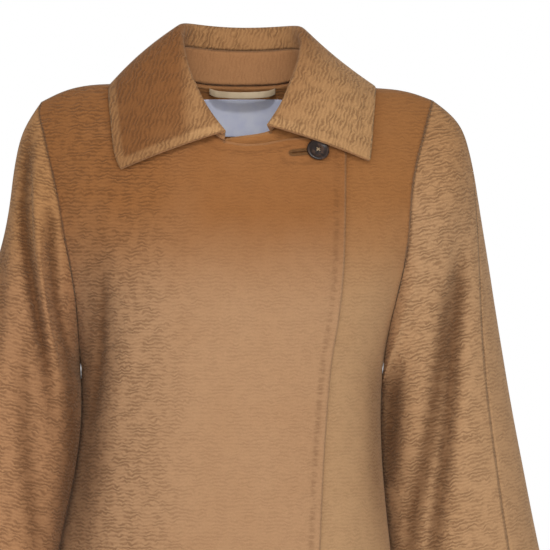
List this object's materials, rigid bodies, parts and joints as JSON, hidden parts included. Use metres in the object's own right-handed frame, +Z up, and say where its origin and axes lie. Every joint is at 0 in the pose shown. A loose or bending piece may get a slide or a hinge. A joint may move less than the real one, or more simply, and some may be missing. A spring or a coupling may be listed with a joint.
{
  "type": "wrap coat",
  "caption": "Long-sleeved wool wrap coat in its worn, hollow form, with a wide pointed shirt collar on a stand, wide sleeves and a lapped front closed by a button at the neck.",
  "frame": {"origin": "midway between the two points where the shoulder seams meet the neck, at their height, where the coat sits on the wearer", "axes": "+X towards the wearer's left, +Y towards the wearer's back, +Z up; the lapped front faces -Y"},
  "size_m": [0.7399, 0.2997, 1.133],
  "materials": {
    "coat_cloth": "brushed wool with a rippled nap",
    "collar_cloth": "brushed wool with a rippled nap",
    "loop_tape": "woven tape",
    "label_satin": "satin",
    "button_horn": "semi-gloss"
  },
  "bodies": {
    "root": {"right_front": "coat_cloth", "left_front": "coat_cloth", "back": "coat_cloth", "right_sleeve_front": "coat_cloth", "right_sleeve_back": "coat_cloth", "left_sleeve_front": "coat_cloth", "left_sleeve_back": "coat_cloth", "collar_stand": "collar_cloth", "upper_collar": "collar_cloth", "under_collar": "collar_cloth", "hanger_loop": "loop_tape", "neck_label": "label_satin", "button": "button_horn"}
  },
  "joints": []
}
